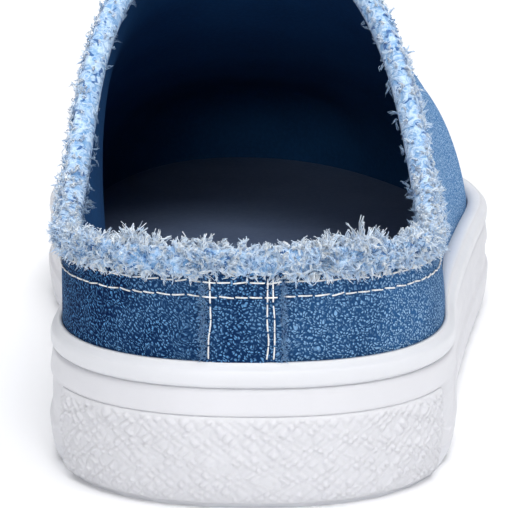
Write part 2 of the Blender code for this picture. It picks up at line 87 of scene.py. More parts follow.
STRIP_WIDTH = 0.0138
STRIP_SHIFT = -0.0014
INSOLE_HEEL = 0.0220
INSOLE_FORE = 0.0172
INSOLE_CUP = 0.0018
INSOLE_CLEARANCE = 0.0009
FRAY_DROP = 0.0044
FRAY_RISE = 0.0026

WIDTH_ROWS = (
    (0.00, HEEL_WIDTH, 0.500),
    (0.15, HEEL_WIDTH, 0.500),
    (0.33, WAIST_WIDTH, 0.470),
    (0.50, 0.45 * WAIST_WIDTH + 0.55 * BALL_WIDTH, 0.470),
    (0.64, BALL_WIDTH, 0.482),
    (0.74, 0.3 * TOE_WIDTH + 0.7 * BALL_WIDTH, 0.490),
    (0.88, TOE_WIDTH, 0.500),
    (1.00, TOE_WIDTH, 0.500),
)
COLLAR_ROWS = (
    (0.00, 0.000),
    (0.18, -0.012),
    (0.34, 0.000),
    (0.47, 0.085),
    (0.60, 0.280),
    (0.73, 0.550),
    (0.86, 0.815),
    (1.00, 1.000),
)
RIDGE_ROWS = (
    (0.000, 1.260),
    (0.200, 1.220),
    (0.340, 1.110),
    (0.445, 1.000),
    (0.530, 0.870),
    (0.620, 0.745),
    (0.720, 0.632),
    (0.820, 0.548),
    (0.900, 0.505),
    (1.000, 0.480),
)
LEAN_ROWS = (
    (0.00, 0.0000),
    (0.10, 0.0032),
    (0.20, 0.0088),
    (0.30, 0.0104),
    (0.38, 0.0092),
    (0.50, 0.0066),
    (0.65, 0.0040),
    (0.80, 0.0018),
    (1.00, 0.0000),
)
SECTION_ROWS = (
    (0.00, 2.00, 2.20),
    (0.20, 2.20, 2.30),
    (0.30, 2.50, 2.40),
    (0.40, 2.20, 2.25),
    (0.60, 2.45, 2.35),
    (0.80, 2.30, 2.30),
    (1.00, 2.60, 2.60),
)
TAPER_ROWS = (
    (0.00, 0.0020),
    (0.05, 0.0011),
    (0.15, 0.0005),
    (0.33, 0.0000),
    (0.56, 0.0000),
    (0.68, 0.0004),
    (0.83, 0.0009),
    (1.00, 0.0010),
)

# Creases of the vamp: station, section angle, half width, half reach in angle, slant, depth
CREASES = (
    (0.1560, 0.95, 0.0045, 0.55, 0.012, -0.00055),
    (0.1645, 1.05, 0.0042, 0.60, 0.010, 0.00045),
    (0.1730, 0.90, 0.0050, 0.60, 0.014, -0.00060),
    (0.1840, 1.10, 0.0055, 0.50, 0.008, 0.00035),
    (0.1370, 0.60, 0.0060, 0.40, 0.020, -0.00045),
    (0.0700, 0.25, 0.0080, 0.18, 0.000, -0.00030),
    (0.0480, 0.22, 0.0070, 0.15, 0.010, 0.00025),
)


@functools.lru_cache(None)
def spline_table(rows, column):
    """Knots of a natural cubic spline through one column of the rows: places, values, steps and bends."""
    x = np.array([row[0] for row in rows])
    y = np.array([row[column] for row in rows])
    step = np.diff(x)
    count = len(x)
    matrix = np.eye(count)
    right = np.zeros(count)
    for i in range(1, count - 1):
        matrix[i, i - 1 : i + 2] = (step[i - 1], 2 * (step[i - 1] + step[i]), step[i])
        right[i] = 6 * ((y[i + 1] - y[i]) / step[i] - (y[i] - y[i - 1]) / step[i - 1])
    return x, y, step, np.linalg.solve(matrix, right)


def spline(rows, at, column=1):
    """Natural cubic spline through one column of the rows, over their first column."""
    x, y, step, bend = spline_table(rows, column)
    at = np.clip(np.asarray(at, float), x[0], x[-1])
    i = np.clip(np.searchsorted(x, at, side="right") - 1, 0, len(x) - 2)
    low, high = at - x[i], x[i + 1] - at
    return (
        (bend[i] * high**3 + bend[i + 1] * low**3) / (6 * step[i])
        + (y[i] / step[i] - bend[i] * step[i] / 6) * high
        + (y[i + 1] / step[i] - bend[i + 1] * step[i] / 6) * low
    )


def smoothstep(value):
    """Eases from 0 to 1 as the value goes from 0 to 1."""
    value = np.clip(value, 0.0, 1.0)
    return value * value * (3 - 2 * value)


def sole_edge(y, side):
    """Sideways place of the sole's edge, on the outer side (+1) or the inner side (-1)."""
    along = y / SHOE_LENGTH
    heel = np.clip(1 - y / HEEL_ROUND, 0, 1)
    toe = np.clip(1 - (SHOE_LENGTH - y) / TOE_ROUND, 0, 1)
    cap = (1 - heel**HEEL_SQUARENESS) ** (1 / HEEL_SQUARENESS)
    cap = cap * (1 - toe**TOE_SQUARENESS) ** (1 / TOE_SQUARENESS)
    inner = spline(WIDTH_ROWS, along, 2)
    half = spline(WIDTH_ROWS, along) * (1 - inner if side > 0 else inner)
    return side * half * cap - TOE_SWING * np.clip((along - 0.6) / 0.4, 0, 1) ** 2


def edge_frame(y, side):
    """Point on the sole's edge and its outward direction in plan."""
    step = 1e-7
    low = np.clip(y - step, 0, SHOE_LENGTH)
    high = np.clip(y + step, 0, SHOE_LENGTH)
    slope = (sole_edge(high, side) - sole_edge(low, side)) / (high - low)
    normal = np.stack([side * np.ones_like(slope), -side * slope], -1)
    normal /= np.linalg.norm(normal, axis=-1, keepdims=True)
    for end, way in ((0.0, -1.0), (SHOE_LENGTH, 1.0)):
        normal[np.isclose(y, end, atol=1e-9)] = (0.0, way)
    return np.stack([sole_edge(y, side), y], -1), normal


def stations(count, low=0.0, high=SHOE_LENGTH):
    """Stations between two places along the shoe, spaced evenly along the edge."""
    y = low + (high - low) * (1 - np.cos(np.linspace(0, math.pi, 4001))) / 2
    edge = (sole_edge(y, 1) - sole_edge(y, -1)) / 2
    length = np.concatenate([[0], np.cumsum(np.hypot(np.diff(edge), np.diff(y)))])
    return np.interp(np.linspace(0, length[-1], count + 1), length, y)


def ring(y, offset):
    """Closed plan ring, heel to toe on the outer side, then back on the inner side."""
    offset = np.broadcast_to(offset, y.shape)[:, None]
    outer, outer_way = edge_frame(y, 1)
    inner, inner_way = edge_frame(y, -1)
    return np.concatenate([outer + offset * outer_way, (inner + offset * inner_way)[-2:0:-1]])


def around(values):
    """One value per station, repeated for the vertices of a ring."""
    return np.concatenate([values, values[-2:0:-1]])


def sole_level(y, height):
    """World height of a level of the sole that lies at the given height at the heel."""
    lift = TOE_SPRING * np.clip((y / SHOE_LENGTH - 0.66) / 0.34, 0, 1) ** 2
    top = SOLE_HEIGHT + SOLE_TOP_LIFT * np.clip((y / SHOE_LENGTH - 0.62) / 0.38, 0, 1) ** 2
    return lift + (top - lift) * height / SOLE_HEIGHT


def taper(height):
    """Inward offset of the sole's wall at a level, eased so that the wall reads as one curve."""
    share = np.asarray(height, float) / SOLE_HEIGHT
    near = np.linspace(-0.04, 0.04, 5)
    rows = np.array(TAPER_ROWS)
    return np.mean([np.interp(share + step, rows[:, 0], rows[:, 1]) for step in near], axis=0)


def patch_recess(y):
    """Inward step that seats the heel patch, easing out just past its ends."""
    return PATCH_RECESS * (1 - smoothstep((y - PATCH_REACH) / 0.004 - 0.4))


def feather_inset(y):
    """Distance from the sole's edge in to the outside of the upper."""
    return HEEL_TUCK + (BALL_TUCK - HEEL_TUCK) * smoothstep((y / SHOE_LENGTH - 0.17) / 0.2)


def feather(y, side):
    """Lowest line of the upper's outer face in plan."""
    point, way = edge_frame(y, side)
    return point - feather_inset(y)[..., None] * way


def upper_foot(y):
    """Height of the upper's lower edge, in the cup of the midsole."""
    return sole_level(y, BED_FLOOR) + GAP


def ridge_height(y):
    """World height of the top line of the last, rounded down at the toe."""
    full = THROAT_HEIGHT * spline(RIDGE_ROWS, y / SHOE_LENGTH)
    full = full + (TOE_BOX_HEIGHT - THROAT_HEIGHT * 0.5) * smoothstep((y / SHOE_LENGTH - 0.6) / 0.3)
    foot = upper_foot(y) + TOE_WALL
    crown = np.clip(1 - (SHOE_LENGTH - y) / TOE_CROWN, 0, 1)
    return foot + (full - foot) * (1 - crown**2.2) ** 0.5


def wall_angle(y, height):
    """Section angle at which the upper's outer face reaches a height."""
    foot = upper_foot(y)
    share = np.clip((height - foot) / (ridge_height(y) - foot), 0, 1)
    return np.arcsin(share ** (spline(SECTION_ROWS, y / SHOE_LENGTH) / 2))


def collar_angle(y):
    """Section angle of the collar's edge: a right angle is the ridge."""
    rise = spline(COLLAR_ROWS, y / THROAT_AT)
    height = HEEL_COLLAR_HEIGHT + (ridge_height(np.array(THROAT_AT)) - HEEL_COLLAR_HEIGHT) * rise
    return np.where(y < THROAT_AT - 1e-9, wall_angle(y, height), math.pi / 2)


def upper_point(y, side, angle):
    """Point of the upper's outer face: angle 0 is its foot and a right angle is the ridge."""
    y, angle = np.broadcast_arrays(np.asarray(y, float), np.asarray(angle, float))
    up = spline(SECTION_ROWS, y / SHOE_LENGTH)
    across = spline(SECTION_ROWS, y / SHOE_LENGTH, 2)
    foot = upper_foot(y)
    edge = feather(y, side)
    ridge = (feather(y, 1) + feather(y, -1)) / 2
    reach = np.cos(angle).clip(0, 1) ** (2 / across)
    rise = np.sin(angle).clip(0, 1) ** (2 / up)
    plan = ridge + (edge - ridge) * reach[..., None]
    z = foot + (ridge_height(y) - foot) * rise
    forward = HEEL_LEAN * (z - foot) / (HEEL_COLLAR_HEIGHT - BED_FLOOR) * (1 - smoothstep(y / 0.05))
    clear = np.clip((z - sole_level(y, SOLE_HEIGHT)) / (ridge_height(y) - foot), 0, 1)
    inward = spline(LEAN_ROWS, y / SHOE_LENGTH) * clear**2 / (clear + LEAN_EASE)
    return np.stack([plan[..., 0] - inward, plan[..., 1] + forward, z], -1)


@functools.lru_cache(None)
def feather_arc(side):
    """Stations along the feather line, and the distance to each from the back of the heel."""
    y = np.concatenate([[0.0], SHOE_LENGTH * (1 - np.cos(np.linspace(0.002, math.pi, 6000))) / 2])
    length = np.concatenate([[0], np.cumsum(np.hypot(*np.diff(feather(y, side), axis=0).T))])
    return y, length


def wall_point(distance, angle):
    """Point of the upper's outer face at a distance along the feather line, outer side positive.

    An angle past a right one lies beyond the ridge, on the other side.
    """
    distance, angle = np.broadcast_arrays(np.asarray(distance, float), np.asarray(angle, float))
    points = {}
    for side in (1, -1):
        y = np.interp(np.abs(distance), feather_arc(side)[1], feather_arc(side)[0])
        near = upper_point(y, side, np.minimum(angle, math.pi / 2))
        far = upper_point(y, -side, math.pi - np.maximum(angle, math.pi / 2))
        points[side] = np.where((angle > math.pi / 2)[..., None], far, near)
    return np.where((distance >= 0)[..., None], points[1], points[-1])


def unit(vectors):
    """Vectors scaled to length 1."""
    return vectors / np.maximum(np.linalg.norm(vectors, axis=-1, keepdims=True), 1e-12)


def wall_frame(distance, angle):
    """Point of the upper's outer face, its outward normal, and its slopes along the shoe and up it."""
    step, turn = 2e-4, 1e-4
    along = (wall_point(distance + step, angle) - wall_point(distance - step, angle)) / (2 * step)
    up = (wall_point(distance, angle + turn) - wall_point(distance, angle - turn)) / (2 * turn)
    return wall_point(distance, angle), unit(np.cross(along, up)), along, up


def wall_walk(distance, angle, way, steps=4):
    """Distances and angles reached by walking over the face along the given vectors."""
    distance, angle = np.array(distance, float), np.array(angle, float)
    for _ in range(steps):
        _, _, along, up = wall_frame(distance, angle)
        part = way / steps
        aa, au, uu = (along * along).sum(-1), (along * up).sum(-1), (up * up).sum(-1)
        pa, pu = (part * along).sum(-1), (part * up).sum(-1)
        det = aa * uu - au * au
        distance = distance + (pa * uu - pu * au) / det
        angle = angle + (pu * aa - pa * au) / det
    return distance, angle


@functools.lru_cache(None)
def shift():
    """Plan middle of the sole in the last frame, which is the row frame's origin."""
    sole = ring(stations(4000), RAND_BULGE)
    return (sole.min(0) + sole.max(0)) / 2


def to_row(points):
    """Moves points from the last frame to the row frame."""
    points = np.array(points, float)
    points[..., :2] -= shift()
    return points


rng = np.random.default_rng(11)


def wobble(at, seed, pitch):
    """Smooth one-dimensional noise between -1 and 1 with the given pitch."""
    values = np.random.default_rng(seed).uniform(-1, 1, 4096)
    place = np.asarray(at, float) / pitch + 2000
    low = np.floor(place).astype(int)
    ease = smoothstep(place - low)
    return values[low % 4096] * (1 - ease) + values[(low + 1) % 4096] * ease


def piece(name, points, faces, material, replaces=(), uv=None, uv2=None):
    """Makes a smooth mesh piece in the row frame that rides on the shoe."""
    mesh = bpy.data.meshes.new(name)
    mesh.from_pydata(to_row(points).tolist(), [], [tuple(map(int, face)) for face in faces])
    for layer_name, values in (("weave", uv), ("vamp", uv2)):
        if values is not None:
            layer = mesh.uv_layers.new(name=layer_name)
            corners = np.empty(len(mesh.loops), int)
            mesh.loops.foreach_get("vertex_index", corners)
            layer.data.foreach_set("uv", np.asarray(values, float)[corners].ravel())
    mesh.shade_smooth()
    mesh.materials.append(material)
    obj = bpy.data.objects.new(name, mesh)
    bpy.context.scene.collection.objects.link(obj)
    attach(obj, "root")
    if replaces:
        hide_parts(*replaces)
    return obj


def grid_faces(rows, columns, close=False, flip=False):
    """Quads of a grid of vertices, row by row; close joins the last column to the first."""
    i, j = np.meshgrid(np.arange(rows - 1), np.arange(columns if close else columns - 1), indexing="ij")
    k = (j + 1) % columns
    quads = np.stack([i * columns + j, i * columns + k, (i + 1) * columns + k, (i + 1) * columns + j], -1)
    quads = quads.reshape(-1, 4)
    return quads[:, ::-1] if flip else quads


def weld(obj, reach=2e-6):
    """Joins vertices that lie on each other."""
    bm = bmesh.new()
    bm.from_mesh(obj.data)
    bmesh.ops.remove_doubles(bm, verts=bm.verts, dist=reach)
    bmesh.ops.recalc_face_normals(bm, faces=bm.faces)
    bm.to_mesh(obj.data)
    bm.free()


class Nodes:
    """Short calls for building a node tree."""

    def __init__(self, name):
        self.material = bpy.data.materials.new(name)
        self.material.use_nodes = True
        self.tree = self.material.node_tree
        self.shader = self.tree.nodes["Principled BSDF"]

    def put(self, target, value):
        if isinstance(value, bpy.types.NodeSocket):
            self.tree.links.new(value, target)
        elif isinstance(value, tuple) and len(value) == 3 and target.type == "RGBA":
            target.default_value = (*value, 1)
        else:
            target.default_value = value

    def node(self, kind, output=0, settings=None, **inputs):
        node = self.tree.nodes.new(kind)
        for key, value in (settings or {}).items():
            setattr(node, key, value)
        for key, value in inputs.items():
            key = key.replace("_", " ") if not key.startswith("in") else int(key[2:])
            self.put(node.inputs[key], value)
        return node.outputs[output]

    def math(self, operation, a, b=0.0, c=0.0):
        return self.node("ShaderNodeMath", settings={"operation": operation}, in0=a, in1=b, in2=c)

    def noise(self, vector, scale, detail=2.0, rough=0.5, warp=0.0):
        return self.node("ShaderNodeTexNoise", Vector=vector, Scale=scale, Detail=detail,
                         Roughness=rough, Distortion=warp)

    def ramp(self, value, low, high, to_low=0.0, to_high=1.0):
        return self.node("ShaderNodeMapRange", settings={"clamp": True, "interpolation_type": "SMOOTHSTEP"},
                         in0=value, in1=low, in2=high, in3=to_low, in4=to_high)

    def mix(self, factor, a, b, blend="MIX"):
        node = self.tree.nodes.new("ShaderNodeMix")
        node.data_type = "RGBA"
        node.blend_type = blend
        self.put(node.inputs[0], factor)
        self.put(node.inputs[6], a)
        self.put(node.inputs[7], b)
        return node.outputs[2]

    def mapping(self, vector, scale=(1, 1, 1), turn=(0, 0, 0)):
        return self.node("ShaderNodeMapping", Vector=vector, Rotation=turn, Scale=scale)

    def bump(self, height, distance, strength=1.0, normal=None):
        inputs = {"Height": height, "Distance": distance, "Strength": strength}
        if normal is not None:
            inputs["Normal"] = normal
        return self.node("ShaderNodeBump", **inputs)

    def uv(self, name):
        return self.node("ShaderNodeUVMap", settings={"uv_map": name})

    def position(self):
        return self.node("ShaderNodeTexCoord", output=3)


def linear(red, green, blue):
    """Linear colour of an sRGB colour given in 0 to 255."""
    values = np.array([red, green, blue]) / 255
    return tuple(float(v) for v in np.where(values > 0.04045, ((values + 0.055) / 1.055) ** 2.4, values / 12.92))


def flecks(n, vector):
    """Pale flecks of worn denim, from 0 to 1: slanted streaks on some parts and round dots on others.

    The vector is in millimetres.
    """
    warp = n.node("ShaderNodeTexNoise", output=1, Vector=vector, Scale=0.55, Detail=1.0)
    warp = n.node("ShaderNodeVectorMath", settings={"operation": "SCALE"}, in0=warp, in3=1.5)
    bent = n.node("ShaderNodeVectorMath", settings={"operation": "ADD"}, in0=vector, in1=warp)
    across = n.node("ShaderNodeSeparateXYZ", output=0, Vector=vector)
    streaky = n.ramp(n.math("ADD", across, n.noise(vector, 0.12, 1.0)), -16.0, -7.0, 1.0, 0.12)

    def cells(scale, turn, low, high):
        spot = n.mapping(n.mapping(bent, turn=(0, 0, turn)), scale=scale)
        node = n.tree.nodes.new("ShaderNodeTexVoronoi")
        node.voronoi_dimensions = "2D"
        n.put(node.inputs["Vector"], spot)
        n.put(node.inputs["Scale"], 1.0)
        chance = n.node("ShaderNodeSeparateXYZ", output=0, Vector=node.outputs["Color"])
        body = n.ramp(node.outputs["Distance"], low, high, 1.0, 0.0)
        return n.math("MULTIPLY", body, n.ramp(chance, 0.05, 0.70, 0.35, 1.0))

    dots = cells((1.95, 2.30, 1.0), 0.35, 0.22, 0.50)
    streaks = cells((1.50, 3.10, 1.0), math.radians(48), 0.18, 0.46)
    keep = n.math("SUBTRACT", 1.0, streaky)
    both = n.math("ADD", n.math("MULTIPLY", streaks, streaky), n.math("MULTIPLY", dots, keep))
    fine = n.noise(bent, 3.4, 2.0, 0.6)
    return n.math("ADD", n.math("MULTIPLY", both, 0.8), n.ramp(fine, 0.50, 0.75, 0.0, 0.12))


def make_denim(name, lighten=0.0):
    """Washed blue denim with pale flecks, paler toward the front, and paler on the outer side as painted light."""
    n = Nodes(name)
    weave = n.mapping(n.uv("weave"), scale=(100, 100, 1))
    vamp = n.mapping(n.uv("vamp"), scale=(100, 100, 1))
    place = n.position()
    ahead_of = n.ramp(n.node("ShaderNodeSeparateXYZ", output=1, Vector=place), -0.040, -0.015)
    fleck_a = n.math("MULTIPLY", flecks(n, weave), n.math("SUBTRACT", 1.0, ahead_of))
    fleck_b = n.math("MULTIPLY", flecks(n, vamp), ahead_of)
    fleck = n.math("ADD", fleck_a, fleck_b)
    wear = n.noise(place, 70.0, 3.0, 0.6)
    to_front = n.ramp(n.node("ShaderNodeSeparateXYZ", output=1, Vector=place), -0.125, 0.0)
    # Painted light: the outer side is made paler, as if lit from that side; the paleness toward the front is washing
    painted_light_side = n.ramp(n.node("ShaderNodeSeparateXYZ", output=0, Vector=place), -0.030, 0.036)
    # fade mixes the washed front, the painted light on the outer side and random wear
    fade = n.math("ADD", n.math("MULTIPLY", to_front, 0.85), n.math("MULTIPLY", painted_light_side, 0.42))
    fade = n.math("ADD", fade, n.ramp(wear, 0.3, 0.7, -0.12, 0.12))
    ground = n.mix(fade, linear(0, 25, 65), linear(58, 116, 172))
    light = n.mix(fade, linear(90, 152, 208), linear(204, 232, 255))
    colour = n.mix(n.ramp(n.math("ADD", fleck, lighten), 0.0, 1.0), ground, light)
    n.put(n.shader.inputs["Base Color"], colour)
    n.put(n.shader.inputs["Roughness"], 0.9)
    n.put(n.shader.inputs["Specular IOR Level"], 0.08)
    n.put(n.shader.inputs["Sheen Weight"], 0.0)
    n.put(n.shader.inputs["Sheen Roughness"], 0.45)
    n.put(n.shader.inputs["Sheen Tint"], (0.62, 0.76, 0.95, 1))
    n.put(n.shader.inputs["Normal"], n.bump(fleck, 0.00030, 0.8))
    return n.material


def make_cloth(name, base, tint, scale=900.0, sheen=0.0):
    """Plain fine cloth with a woven bump."""
    n = Nodes(name)
    where = n.position()
    grain = n.noise(where, scale, 2.0, 0.6)
    cloud = n.noise(where, 60.0, 2.0, 0.5)
    colour = n.mix(n.ramp(cloud, 0.25, 0.8, 0.0, 0.4), base, tint)
    colour = n.mix(n.math("MULTIPLY", n.ramp(grain, 0.4, 0.65), 0.35), colour, tint)
    n.put(n.shader.inputs["Base Color"], colour)
    n.put(n.shader.inputs["Roughness"], 0.85)
    n.put(n.shader.inputs["Specular IOR Level"], 0.25)
    n.put(n.shader.inputs["Sheen Weight"], sheen)
    n.put(n.shader.inputs["Normal"], n.bump(grain, 0.0002, 0.5))
    return n.material


def make_rubber(name, base, gloss, grain=0.0):
    """White sole rubber: slightly mottled, softly glossy, a little duller where it is scuffed."""
    n = Nodes(name)
    where = n.position()
    cloud = n.noise(where, 45.0, 3.0, 0.55)
    scuff = n.noise(n.mapping(where, scale=(1, 1, 5)), 140.0, 3.0, 0.6)
    colour = n.mix(n.ramp(cloud, 0.3, 0.75), base, tuple(v * 0.955 for v in base))
    colour = n.mix(n.math("MULTIPLY", n.ramp(scuff, 0.62, 0.8), 0.22), colour, tuple(v * 0.86 for v in base))
    n.put(n.shader.inputs["Base Color"], colour)
    n.put(n.shader.inputs["Roughness"], n.ramp(scuff, 0.3, 0.8, gloss, gloss + 0.16))
    n.put(n.shader.inputs["IOR"], 1.46)
    n.put(n.shader.inputs["Subsurface Weight"], 0.06)
    n.put(n.shader.inputs["Subsurface Radius"], (0.004, 0.004, 0.005))
    n.put(n.shader.inputs["Subsurface Scale"], 0.4)
    fine = n.noise(where, 1300.0, 1.0, 0.5)
    normal = n.bump(fine, 0.00008, 0.25 + grain)
    n.put(n.shader.inputs["Normal"], n.bump(scuff, 0.0002, 0.12, normal))
    return n.material


def make_yarn(name, low, high, specks=None):
    """Frayed yarn: pale, uneven from fibre to fibre, with some deeper specks."""
    n = Nodes(name)
    where = n.position()
    tuft = n.noise(where, 520.0, 3.0, 0.65, 1.6)
    colour = n.mix(n.ramp(tuft, 0.35, 0.65), low, high)
    if specks:
        spot = n.noise(where, 650.0, 1.0, 0.4, 0.6)
        colour = n.mix(n.ramp(spot, 0.60, 0.68), colour, specks)
    n.put(n.shader.inputs["Base Color"], colour)
    n.put(n.shader.inputs["Roughness"], 0.95)
    n.put(n.shader.inputs["Sheen Weight"], 0.3)
    n.put(n.shader.inputs["Subsurface Weight"], 0.1)
    n.put(n.shader.inputs["Subsurface Radius"], (0.002, 0.002, 0.003))
    n.put(n.shader.inputs["Subsurface Scale"], 0.3)
    n.put(n.shader.inputs["Normal"], n.bump(tuft, 0.0007, 0.9))
    return n.material


DENIM = make_denim("denim")
DENIM_STRIP = make_denim("denim_strip", -0.04)
LINING = make_cloth("lining", linear(18, 66, 112), linear(30, 88, 138), 1100.0)
INSOLE = make_cloth("insole_cloth", linear(108, 126, 158), linear(128, 146, 178), 800.0)
RUBBER = make_rubber("rubber", linear(217, 217, 221), 0.42)
RUBBER_RAND = make_rubber("rubber_rand", linear(218, 219, 223), 0.36)
RUBBER_PATCH = make_rubber("rubber_patch", linear(213, 213, 217), 0.46, 0.2)
RUBBER_TREAD = make_rubber("rubber_tread", linear(222, 223, 228), 0.6, 0.5)
YARN = make_yarn("yarn", linear(112, 160, 208), linear(196, 220, 244), linear(48, 100, 160))
YARN_SOFT = make_yarn("yarn_soft", linear(166, 202, 240), linear(218, 236, 255))
YARN_PALE = make_yarn("yarn_pale", linear(202, 226, 252), linear(244, 250, 255))
YARN_BLUE = make_yarn("yarn_blue", linear(60, 112, 168), linear(112, 160, 206))
YARN_INNER = make_yarn("yarn_inner", linear(90, 122, 158), linear(150, 178, 206))
THREAD = make_yarn("thread", linear(222, 224, 226), linear(246, 246, 246))


def crease_relief(y, angle):
    """Depth of the creases at places on the upper."""
    relief = np.zeros(np.broadcast(y, angle).shape)
    for at, turn, half, reach, slant, depth in CREASES:
        centre = at + slant * (angle - turn)
        across = np.exp(-(((y - centre) / half) ** 2))
        relief += depth * across * np.exp(-(((angle - turn) / reach) ** 4))
    return relief


def upper_grid(back, throat, front, across):
    """Stations and angle shares of a fine grid over the upper."""
    throat_y = THROAT_AT - 0.014 * (1 - np.linspace(0, 1, throat + 1)[1:]) ** 2
    y = np.concatenate([stations(back, 0.0, THROAT_AT - 0.014), throat_y, stations(front, THROAT_AT, SHOE_LENGTH)[1:]])
    return y, np.linspace(0, 1, across + 1)


def make_upper():
    """Denim outside and dark lining of the hollow upper."""
    y, share = upper_grid(90, 36, 110, 44)
    angle = share[None, :] * collar_angle(y)[:, None]
    points, uv, uv2, faces = [], [], [], []
    inner = []
    for side in (1, -1):
        base = upper_point(y[:, None], side, angle)
        distance = np.interp(y, *feather_arc(side))[:, None] * side * np.ones_like(angle)
        _, normal, _, _ = wall_frame(distance, np.minimum(angle, math.pi / 2 - 1e-3))
        normal[0] = unit(normal[0] * (0, 1, 1))
        skin = base + normal * crease_relief(y[:, None], angle)[..., None]
        rise = np.concatenate([np.zeros((len(y), 1)), np.cumsum(np.linalg.norm(np.diff(base, axis=1), axis=2), axis=1)], 1)
        offset = len(points) and len(points[0])
        faces.append(grid_faces(len(y), len(share), flip=side < 0) + offset)
        points.append(skin.reshape(-1, 3))
        inner.append((base - normal * WALL).reshape(-1, 3))
        uv.append(np.stack([distance, rise], -1).reshape(-1, 2) * 10)
        whole = upper_point(y[:, None], side, np.linspace(0, math.pi / 2, 60)[None, :])
        ridge = np.linalg.norm(np.diff(whole, axis=1), axis=2).sum(1)[:, None] - rise
        uv2.append(np.stack([side * ridge, base[..., 1]], -1).reshape(-1, 2) * 10)
    faces = np.concatenate(faces)
    skin = piece("upper_denim", np.concatenate(points), faces, DENIM, ["upper"],
                 np.concatenate(uv), np.concatenate(uv2))
    lining = piece("upper_lining", np.concatenate(inner), faces, LINING)
    for obj in (skin, lining):
        weld(obj)
    return skin, lining


def sole_tube(name, y, section, material, replaces, levels=None):
    """Closed band round the sole, from section rows of height and outward offset."""
    rows = [np.column_stack([ring(y, off - np.zeros_like(y)), around(sole_level(y, h + np.zeros_like(y)))]) for h, off in section]
    points = np.concatenate(rows)
    count = len(rows[0])
    faces = [grid_faces(len(rows), count, close=True)]
    first, last = np.arange(count), np.arange(count) + (len(rows) - 1) * count
    faces.append(np.stack([last, np.roll(last, -1), np.roll(first, -1), first], -1))
    obj = piece(name, points, np.concatenate(faces), material, replaces)
    weld(obj)
    return obj


def make_rand():
    """Rounded rubber band that wraps the foot of the upper."""
    y = stations(170)
    cup = feather_inset(y) - 0.0001
    tuck = np.minimum(RAND_TUCK, cup * 0.5)
    foot, top = RAND_FOOT + 0.00005, SOLE_HEIGHT
    rows = [(foot - 0.0004, -taper(foot) - 0.0009)]
    for turn in np.linspace(0, 1, 21):
        height = foot + (top - foot) * turn
        bulge = RAND_BULGE * math.sin(math.pi * min(1.0, turn * 1.25)) ** 0.6 if turn < 0.8 else 0.0
        round_off = smoothstep((turn - 0.62) / 0.38)
        low_edge = 0.00055 * (1 - smoothstep(turn / 0.20 + 0.15))
        rows.append((height, bulge - taper(height) - low_edge - tuck * round_off**1.5))
    rows.append((top + 0.00005, -taper(top) - tuck - 0.0006))
    rows.append((top - 0.0002, -cup))
    rows.append((foot, -cup))
    return sole_tube("rand_rubber", y, rows, RUBBER_RAND, ["rand"])


def channel_foot(y):
    """Height of the lower edge of the channel along the side of the sole."""
    ease = smoothstep((y - PATCH_REACH) / 0.045)
    return CHANNEL_FOOT_HEEL + (CHANNEL_FOOT_SIDE - CHANNEL_FOOT_HEEL) * ease


def make_midsole():
    """Thick rubber platform with the channel under its band."""
    y = stations(170)
    recess = -patch_recess(y)
    channel = np.minimum(recess, -CHANNEL_DEPTH)
    foot = channel_foot(y)
    start = OUTSOLE_TOP - 0.0004
    rows = [(start, recess - 0.0004 - taper(start)), (start + 0.0004, recess - taper(start + 0.0004))]
    for turn in np.linspace(0.1, 1, 8):
        height = start + 0.0004 + (foot - 0.0006 - start - 0.0004) * turn
        rows.append((height, recess - taper(height)))
    for turn in np.linspace(0, 1, 6)[1:]:
        height = foot - 0.0006 + 0.0012 * turn
        rows.append((height, recess + (channel - recess) * smoothstep(turn) - taper(height)))
    for turn in np.linspace(0, 1, 8)[1:]:
        height = foot + 0.0006 + (CHANNEL_TOP - 0.0006 - foot - 0.0006) * turn
        rows.append((height, channel - taper(height)))
    for turn in np.linspace(0, 1, 6)[1:]:
        height = CHANNEL_TOP - 0.0006 + 0.0009 * turn
        rows.append((height, channel * (1 - smoothstep(turn)) - taper(height)))
    for turn in np.linspace(0, 1, 6)[1:]:
        height = CHANNEL_TOP + 0.0003 + (RAND_FOOT - 0.0012 - CHANNEL_TOP - 0.0003) * turn
        rows.append((height, -taper(height) + 0 * y))
    for turn in np.linspace(0, 1, 7)[1:]:
        height = RAND_FOOT - 0.0012 + 0.0012 * turn
        rows.append((height, -taper(height) - 0.00045 * turn**2.5 + 0 * y))
    rows.append((RAND_FOOT, -taper(RAND_FOOT) - 0.0012))
    cup = feather_inset(y) - 0.0001
    rows.append((RAND_FOOT - 0.0001, -cup))
    rows.append((BED_FLOOR, -cup))
    rows.append((BED_FLOOR, -cup - 0.012))
    rows.append((start, recess - 0.012))
    return sole_tube("midsole_rubber", y, rows, RUBBER, ["midsole"])


